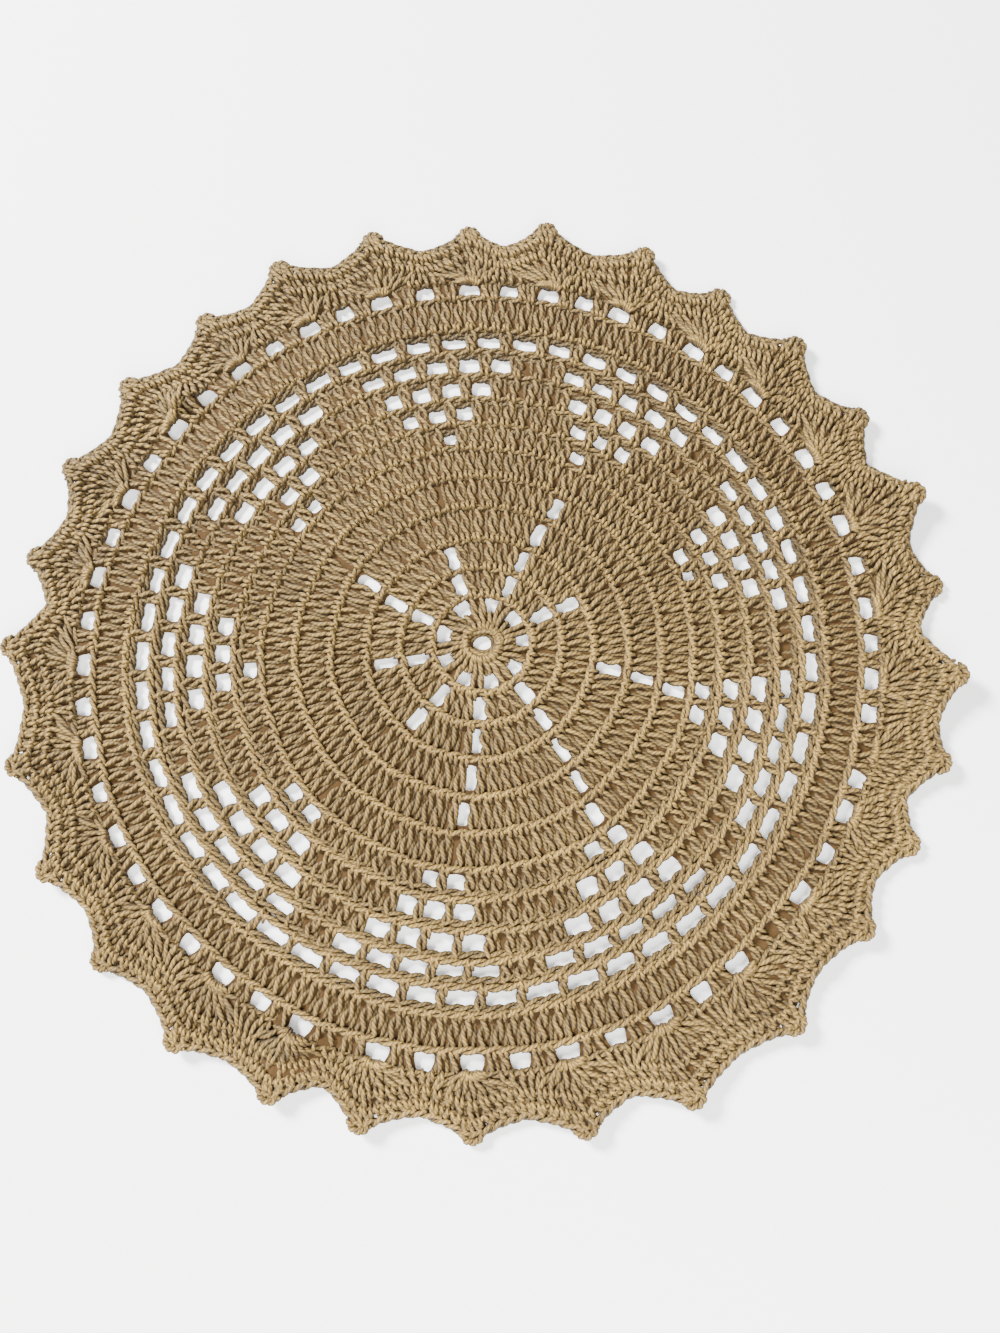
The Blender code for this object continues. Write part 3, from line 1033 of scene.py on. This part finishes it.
class YarnSweep:
    """Tree of geometry nodes that turns strands drawn as edges into round yarn."""

    def __init__(self) -> None:
        """Build the tree."""
        tree = bpy.data.node_groups.new("spun_yarn", "GeometryNodeTree")
        self.tree = tree
        tree.interface.new_socket("Geometry", in_out="INPUT", socket_type="NodeSocketGeometry")
        sides = tree.interface.new_socket("Sides", in_out="INPUT", socket_type="NodeSocketInt")
        finish = tree.interface.new_socket("Finish", in_out="INPUT", socket_type="NodeSocketMaterial")
        tree.interface.new_socket("Geometry", in_out="OUTPUT", socket_type="NodeSocketGeometry")
        self.sides, self.finish = sides.identifier, finish.identifier
        start = add_node(tree, "NodeGroupInput").outputs
        girth = add_node(tree, "GeometryNodeInputNamedAttribute", {"data_type": "FLOAT", "Name": "girth"})
        curves = add_node(tree, "GeometryNodeMeshToCurve", {"Mesh": start["Geometry"]})
        length = add_node(tree, "GeometryNodeSplineParameter").outputs["Length"]
        settings = {"Radius": 1.0, "Resolution": start["Sides"]}
        circle = add_node(tree, "GeometryNodeCurvePrimitiveCircle", settings)
        place = add_node(tree, "GeometryNodeInputPosition").outputs["Position"]
        settings = {
            "Curve": self.keep("along", "FLOAT", curves.outputs["Curve"], length),
            "Profile Curve": self.keep("around", "FLOAT_VECTOR", circle.outputs["Curve"], place),
            "Scale": girth.outputs["Attribute"],
            "Fill Caps": True,
        }
        swept = add_node(tree, "GeometryNodeCurveToMesh", settings)
        rounded = add_node(tree, "GeometryNodeSetShadeSmooth", {"Geometry": swept.outputs["Mesh"]})
        real = add_node(tree, "GeometryNodeRealizeInstances", {"Geometry": rounded.outputs["Geometry"]})
        settings = {"Geometry": real.outputs["Geometry"], "Material": start["Finish"]}
        dressed = add_node(tree, "GeometryNodeSetMaterial", settings)
        add_node(tree, "NodeGroupOutput", {"Geometry": dressed.outputs["Geometry"]})

    def keep(
        self, name: str, kind: str, curve: bpy.types.NodeSocket, value: bpy.types.NodeSocket,
    ) -> bpy.types.NodeSocket:
        """Keep a value at each point of a curve, for the yarn's material.

        Args:
            name: Name that it is kept under.
            kind: Data type of the value.
            curve: The curve.
            value: The value.

        Returns:
            The curve with the value.
        """
        settings = {"data_type": kind, "domain": "POINT", "Name": name, "Geometry": curve, "Value": value}
        return add_node(self.tree, "GeometryNodeStoreNamedAttribute", settings).outputs["Geometry"]

    def spin(
        self, name: str, chart: Chart, strands: list[Strand], material: bpy.types.Material,
    ) -> bpy.types.Object:
        """Spin strands into one piece of yarn work.

        Args:
            name: Name of the piece.
            chart: Chart that says where spots lie.
            strands: Its strands.
            material: Its finish.

        Returns:
            The piece, as a plain mesh at the origin.
        """
        points, edges, girths, tones, shade_heights = [], [], [], [], []
        for strand in strands:
            first, count = len(points), len(strand.spots)
            for step, (spot, height) in enumerate(strand.spots):
                end = min(step, count - 1 - step)
                taper = 1.0 if strand.closed else mix(0.62, 1.0, smooth(end / 1.5))
                points.append(chart.laid(spot, max(height, strand.girth)))
                girths.append(strand.girth * taper * MM)
                tones.append(strand.tone)
                shade_heights.append(height)
            edges += [(first + step, first + step + 1) for step in range(count - 1)]
            if strand.closed:
                edges.append((first + count - 1, first))
        drawn = bpy.data.meshes.new(name + "_strands")
        drawn.from_pydata(points, edges, [])
        # The kept depth is each spot's height, which the yarn's material turns into painted shade low in the
        # cloth
        for title, values in (("girth", girths), ("tone", tones), ("depth", shade_heights)):
            drawn.attributes.new(title, "FLOAT", "POINT").data.foreach_set("value", values)
        holder = bpy.data.objects.new(name + "_strands", drawn)
        bpy.context.scene.collection.objects.link(holder)
        modifier = holder.modifiers.new("yarn", "NODES")
        modifier.node_group = self.tree
        modifier[self.sides] = YARN_SIDES
        modifier[self.finish] = material
        graph = bpy.context.evaluated_depsgraph_get()
        mesh = bpy.data.meshes.new_from_object(holder.evaluated_get(graph), depsgraph=graph)
        mesh.name = name
        piece = bpy.data.objects.new(name, mesh)
        bpy.context.scene.collection.objects.link(piece)
        bpy.data.objects.remove(holder, do_unlink=True)
        return piece


class FinishTree:
    """Material and the tree of nodes that is built up in it."""

    def __init__(self, name: str) -> None:
        """Start an empty material."""
        self.material = bpy.data.materials.new(name)
        self.material.use_nodes = True
        self.tree = self.material.node_tree
        self.tree.nodes.clear()

    def place(self) -> bpy.types.NodeSocket:
        """Place on the object."""
        return add_node(self.tree, "ShaderNodeTexCoord").outputs["Object"]

    def kept(self, name: str, output: str = "Fac") -> bpy.types.NodeSocket:
        """Value that the yarn keeps under a name."""
        return add_node(self.tree, "ShaderNodeAttribute", {"attribute_name": name}).outputs[output]

    def maths(self, operation: str, *values: bpy.types.NodeSocket | float) -> bpy.types.NodeSocket:
        """Result of an operation on sockets and numbers."""
        settings = {"operation": operation, **dict(enumerate(values))}
        return add_node(self.tree, "ShaderNodeMath", settings).outputs[0]

    def noise(
        self, place: bpy.types.NodeSocket, scale: float, detail: float, roughness: float = 0.5,
    ) -> bpy.types.NodeSocket:
        """Noise at a place."""
        settings = {"Vector": place, "Scale": scale, "Detail": detail, "Roughness": roughness}
        return add_node(self.tree, "ShaderNodeTexNoise", settings).outputs[0]

    def spread(
        self, value: bpy.types.NodeSocket, start: float, end: float, low: float = 0.0, high: float = 1.0,
        kind: str = "LINEAR",
    ) -> bpy.types.NodeSocket:
        """Value that goes from low to high as the given one goes from start to end."""
        settings = {"From Min": start, "From Max": end, "To Min": low, "To Max": high}
        settings |= {"interpolation_type": kind, "Value": value}
        return add_node(self.tree, "ShaderNodeMapRange", settings).outputs[0]

    def blend(self, share: object, first: object, second: object, kind: str = "MIX") -> bpy.types.NodeSocket:
        """Colour between two sockets or colours."""
        settings = {"data_type": "RGBA", "blend_type": kind, 0: share, 6: first, 7: second}
        return add_node(self.tree, "ShaderNodeMix", settings).outputs[2]

    def finish(
        self, relief: bpy.types.NodeSocket, strength: float, depth: float, settings: dict,
    ) -> bpy.types.Material:
        """End the tree with a raised surface.

        Args:
            relief: Height of its relief.
            strength: Strength of the relief.
            depth: Depth of the relief.
            settings: Inputs of the surface by name.

        Returns:
            The material.
        """
        raised = {"Strength": strength, "Distance": depth, "Height": relief}
        bump = add_node(self.tree, "ShaderNodeBump", raised)
        shader = add_node(self.tree, "ShaderNodeBsdfPrincipled", settings | {"Normal": bump.outputs[0]})
        add_node(self.tree, "ShaderNodeOutputMaterial", {"Surface": shader.outputs[0]})
        return self.material


@dataclass(frozen=True)
class CottonYarn:
    """Plied cotton yarn, mercerised so that it shines a little, in natural beige."""

    # The lit and the shaded beige of the patches of painted light and shade over the puckers
    light: str = "96793E"
    dark: str = "624B23"
    # Painted shade: the colour of a strand's sides, which face away from the light
    painted_side_shade: str = "37270E"
    roughness: float = 0.6
    sheen: float = 0.06
    specular: float = 0.3
    ply_pitch: float = 5.6 * MM
    plies: int = 3
    relief: float = 0.25 * MM
    # Painted shade: share of colour left on strands that lie low in the cloth
    deep: float = 0.34
    streaks: float = 500.0
    streak_shift: float = 80.0
    # Size of the patches of painted light and shade that stand in for the small puckers
    pucker_light_and_shade_scale: float = 35.0
    fibre_scale: float = 2600.0

    def material(self) -> bpy.types.Material:
        """Natural beige with plies and fibres, and painted light and shade: lighter facing up, darker on the
        sides, low in the cloth, in the ply grooves and in patches.

        Returns:
            The material.
        """
        yarn = FinishTree("cotton_yarn")
        place, tone, along = yarn.place(), yarn.kept("tone"), yarn.kept("along")

        # Plies: a sine that runs round the strand and along it
        around = {"Vector": yarn.kept("around", "Vector")}
        section = add_node(yarn.tree, "ShaderNodeSeparateXYZ", around).outputs
        turned = yarn.maths("MULTIPLY", yarn.maths("ARCTAN2", section["Y"], section["X"]), self.plies)
        run = yarn.maths("MULTIPLY", along, math.tau * self.plies / self.ply_pitch)
        phase = yarn.maths("ADD", turned, run)
        ply = yarn.spread(yarn.maths("SINE", phase), -1.0, 1.0)

        # Fibres: streaks that run with the plies, and differ from strand to strand
        settings = {
            "X": phase,
            "Y": yarn.maths("MULTIPLY", along, self.streaks),
            "Z": yarn.maths("MULTIPLY", tone, self.streak_shift),
        }
        streak = yarn.noise(add_node(yarn.tree, "ShaderNodeCombineXYZ", settings).outputs[0], 1.6, 3.0, 0.7)

        # Tone and painted shade: the strand's own tone and its streaks, times painted shade in the ply
        # grooves with painted highlight on the ply crests, and painted shade low in the cloth
        normal = add_node(yarn.tree, "ShaderNodeNewGeometry").outputs["Normal"]
        facing = add_node(yarn.tree, "ShaderNodeSeparateXYZ", {"Vector": normal}).outputs["Z"]
        # Painted shade: strands are darker the lower they lie in the cloth where they face up, and darkened
        # by a fixed share where they face down
        painted_low_shade = yarn.spread(yarn.kept("depth"), 1.0, 3.0, self.deep)
        settings = {"data_type": "FLOAT", 0: yarn.spread(facing, -0.3, 0.2), 2: 0.85, 3: painted_low_shade}
        depth = add_node(yarn.tree, "ShaderNodeMix", settings).outputs[0]
        # Painted shade in the ply grooves and painted highlight on the ply crests
        level = yarn.spread(ply, 0.0, 1.0, 0.5, 1.2)
        for part in (tone, yarn.spread(streak, 0.3, 0.7, 0.55, 1.6), depth):
            level = yarn.maths("MULTIPLY", level, part)

        # Colour: painted light and shade in patches some centimetres across, for the small puckers, and
        # painted shade on the sides of the strands, away from the light
        # Painted light and shade: patches some centimetres across that stand in for the small puckers of the
        # cloth
        pucker_light_and_shade = yarn.spread(yarn.noise(place, self.pucker_light_and_shade_scale, 3.0), 0.3, 0.7, 0.45)
        # Painted light on what faces up, painted shade on the sides
        painted_light_mask = yarn.spread(yarn.maths("ABSOLUTE", facing), 0.25, 1.0, kind="SMOOTHSTEP")
        colour = yarn.blend(painted_light_mask, srgb(self.painted_side_shade), yarn.blend(pucker_light_and_shade, srgb(self.dark), srgb(self.light)))
        colour = yarn.blend(1.0, colour, level, "MULTIPLY")

        # Relief: the plies and the fine fibres
        grain = yarn.maths("MULTIPLY_ADD", yarn.noise(place, self.fibre_scale, 2.0), 0.35, streak)
        return yarn.finish(yarn.maths("ADD", ply, grain), 0.9, self.relief, {
            "Base Color": colour, "Roughness": self.roughness, "Sheen Weight": self.sheen,
            "Sheen Roughness": 0.4, "Specular IOR Level": self.specular,
        })


@dataclass(frozen=True)
class PaintedShadeYarn:
    """Dark brown painted shade on the yarn that lies deep between the stitches, where little light comes."""

    # Painted shade: the dark brown seen between the stitches
    colour: str = "332410"
    lighter: str = "4A3417"
    roughness: float = 0.9
    specular: float = 0.2
    relief: float = 0.3 * MM
    fibre_scale: float = 700.0

    def material(self) -> bpy.types.Material:
        """Brown cotton fibres between the stitches, as painted shade.

        Returns:
            The material.
        """
        yarn = FinishTree("painted_shade_yarn")
        fibre = yarn.noise(yarn.place(), self.fibre_scale, 3.0)
        colour = yarn.blend(fibre, srgb(self.colour), srgb(self.lighter))
        settings = {"Base Color": colour, "Roughness": self.roughness, "Specular IOR Level": self.specular}
        return yarn.finish(fibre, 0.6, self.relief, settings)


@dataclass(frozen=True)
class PaintedShadeSheet:
    """The thin middle of the cloth, a dark sheet of painted shade seen only as the dark between two stitches;
    it also stands for the hidden turns of yarn and keeps the floor from showing through.
    """

    bottom: float = 1.3
    thickness: float = 0.5
    inset: float = 2.0
    margin: float = 1.2
    point: float = 0.5
    corners: int = 12
    squareness: float = 0.6
    ring_step: float = 10
    rings: int = 15
    clearance: float = 9
    same_spot: float = 0.001

    def gap_loop(self, chart: Chart, opening: Opening) -> list[Vector]:
        """Outline a gap, a little larger than the open gap itself.

        Args:
            chart: Chart that says where spots lie.
            opening: The gap.

        Returns:
            Its corners.
        """
        middle = chart.place(opening.gap.radius, opening.at)
        turn = math.radians(opening.at)
        outward = Vector((math.cos(turn), math.sin(turn)))
        left = outward.orthogonal()
        loop = []
        for corner in range(self.corners):
            step = math.tau * corner / self.corners
            cosine, sine = math.cos(step), math.sin(step)
            across = math.copysign(abs(cosine) ** self.squareness, cosine)
            across *= opening.gap.width / 2 + self.margin
            if opening.gap.radius > BAND:
                across *= 1 - self.point * (sine + 1) / 2
            high = math.copysign(abs(sine) ** self.squareness, sine)
            high *= opening.gap.height / 2 + self.margin
            loop.append(middle + left * across + outward * high)
        return loop

    def build(self, chart: Chart, material: bpy.types.Material) -> bpy.types.Object:
        """Build it as one closed sheet with the cloth's gaps.

        Args:
            chart: Chart that says where the gaps are.
            material: Its finish.

        Returns:
            The sheet, at the origin.
        """
        rim = []
        for step in range(EDGE_STEPS):
            degrees = 360 * step / EDGE_STEPS
            rim.append(chart.place(chart.edge_radius(degrees) - self.inset, degrees))
        loops = [rim, self.gap_loop(chart, Opening(0, 0, CENTRE_GAP))]
        for number in (*range(1, BAND_ROUND), FAN_ROUND):
            loops += [self.gap_loop(chart, opening) for opening in chart.openings(number) if opening.is_open]
        spots, borders = [], []
        for loop in loops:
            borders.append(range(len(spots), len(spots) + len(loop)))
            spots += loop
        for ring in range(1, self.rings + 1):
            for step in range(6 * ring):
                spot = chart.place(self.ring_step * ring, 60 * step / ring)
                if self.is_clear(spot, loops[1:]):
                    spots.append(spot)
        inside_with_holes = 2
        corners, _, triangles, *_ = delaunay_2d_cdt(spots, [], borders, inside_with_holes, self.same_spot)
        count = len(corners)
        points = [chart.laid(corner, self.bottom + self.thickness) for corner in corners]
        points += [chart.laid(corner, self.bottom) for corner in corners]
        faces = [tuple(triangle) for triangle in triangles]
        edges = [edge for face in faces for edge in zip(face, face[1:] + face[:1])]
        inner = set(edges)
        walls = []
        for first, second in edges:
            if (second, first) not in inner:
                walls.append((second, first, first + count, second + count))
        under = [tuple(corner + count for corner in reversed(face)) for face in faces]
        mesh = bpy.data.meshes.new("painted_shade_sheet")
        mesh.from_pydata(points, [], faces + under + walls)
        mesh.validate()
        mesh.materials.append(material)
        sheet = bpy.data.objects.new("painted_shade_sheet", mesh)
        bpy.context.scene.collection.objects.link(sheet)
        return sheet

    def is_clear(self, spot: Vector, loops: list[list[Vector]]) -> bool:
        """Whether a spot lies clear of every gap."""
        return all((spot - sum(loop, Vector((0, 0))) / len(loop)).length > self.clearance for loop in loops)


@dataclass(frozen=True)
class Light:
    """A square soft light that looks at the doily: its place in metres, its size and its power."""

    name: str
    place: tuple[float, float, float]
    size: float
    power: float


LIGHTS = (Light("key", (-1.3, 0.9, 1.15), 0.45, 210.0), Light("fill", (0.15, -0.6, 0.6), 0.7, 22.0))


@dataclass(frozen=True)
class Studio:
    """Pale floor, soft light from the upper left and the camera above the near side."""

    tilt: float = 0.2027
    roll: float = 0.1684
    shift_x: float = -0.05817
    shift_y: float = 0.03998
    distance: float = 2.1274
    reach: float = 180 * MM
    focal_pixels: float = 1000.0
    tall_pixels: float = 1333.0
    sky: float = 0.35
    floor_half: float = 3.0
    floor_low: float = -0.15 * MM
    floor_colour: str = "FCFCFB"
    floor_roughness: float = 0.9
    floor_glow: float = 0.5

    def build(self, chart: Chart) -> None:
        """Set up the floor, the lights and the camera.

        Args:
            chart: Chart that says where the middle of the cloth lies.
        """
        self.add_floor()
        for light in LIGHTS:
            self.add_light(light)
        world = bpy.data.worlds.new("studio")
        bpy.context.scene.world = world
        world.use_nodes = True
        background = world.node_tree.nodes["Background"].inputs
        background["Color"].default_value = srgb("FFFFFF")
        background["Strength"].default_value = self.sky
        self.add_camera(chart)

    def add_floor(self) -> None:
        """Add the plain pale floor."""
        mesh = bpy.data.meshes.new("floor")
        half, low = self.floor_half, self.floor_low
        corners = [(-half, -half, low), (half, -half, low), (half, half, low), (-half, half, low)]
        mesh.from_pydata(corners, [], [(0, 1, 2, 3)])
        material = bpy.data.materials.new("floor")
        material.use_nodes = True
        shader = material.node_tree.nodes["Principled BSDF"].inputs
        shader["Base Color"].default_value = srgb(self.floor_colour)
        shader["Roughness"].default_value = self.floor_roughness
        shader["Emission Color"].default_value = srgb("FFFFFF")
        shader["Emission Strength"].default_value = self.floor_glow
        mesh.materials.append(material)
        floor = bpy.data.objects.new("floor", mesh)
        bpy.context.scene.collection.objects.link(floor)

    @staticmethod
    def add_light(light: Light) -> None:
        """Add a light.

        Args:
            light: The light.
        """
        data = bpy.data.lights.new(light.name, "AREA")
        data.size, data.energy = light.size, light.power
        place = Vector(light.place)
        lamp = bpy.data.objects.new(light.name, data)
        lamp.matrix_world = Matrix.Translation(place) @ place.to_track_quat("Z", "Y").to_matrix().to_4x4()
        bpy.context.scene.collection.objects.link(lamp)

    def add_camera(self, chart: Chart) -> None:
        """Add the camera where the photograph was taken from.

        Args:
            chart: Chart that says where the middle of the cloth lies.
        """
        turn = Matrix.Rotation(self.roll, 3, "Z") @ Matrix.Rotation(-self.tilt, 3, "X")
        turn = turn @ Matrix.Rotation(-self.roll, 3, "Z")
        back = turn.transposed()
        place = back @ Vector((-self.shift_x, -self.shift_y, self.distance)) * self.reach
        place -= Vector((chart.centre.x, chart.centre.y, 0.0)) * MM
        camera = bpy.data.objects.new("camera", bpy.data.cameras.new("camera"))
        camera.data.lens = 36 * self.focal_pixels / self.tall_pixels
        camera.data.clip_start = 0.01
        camera.matrix_world = Matrix.Translation(place) @ back.to_4x4()
        bpy.context.scene.collection.objects.link(camera)
        bpy.context.scene.camera = camera


def main() -> None:
    """Build the doily's yarn, its sheet and the studio."""
    logging.basicConfig(level=logging.INFO, format="%(message)s")
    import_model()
    chart = Chart()
    work = YarnWork(chart, StitchSizes(), seed=11)
    work.work()
    cotton = CottonYarn().material()
    sweep = YarnSweep()
    for region, stitcher in work.regions.items():
        piece = sweep.spin(region.value, chart, stitcher.strands, cotton)
        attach(piece, "root")
        triangles = sum(len(face.vertices) - 2 for face in piece.data.polygons)
        LOG.info("%s: %d strands, %d triangles", piece.name, len(stitcher.strands), triangles)
    sheet = PaintedShadeSheet().build(chart, PaintedShadeYarn().material())
    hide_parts("doily")
    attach(sheet, "root")
    LOG.info("%s: %d faces", sheet.name, len(sheet.data.polygons))
    Studio().build(chart)


if __name__ == "__main__":
    main()
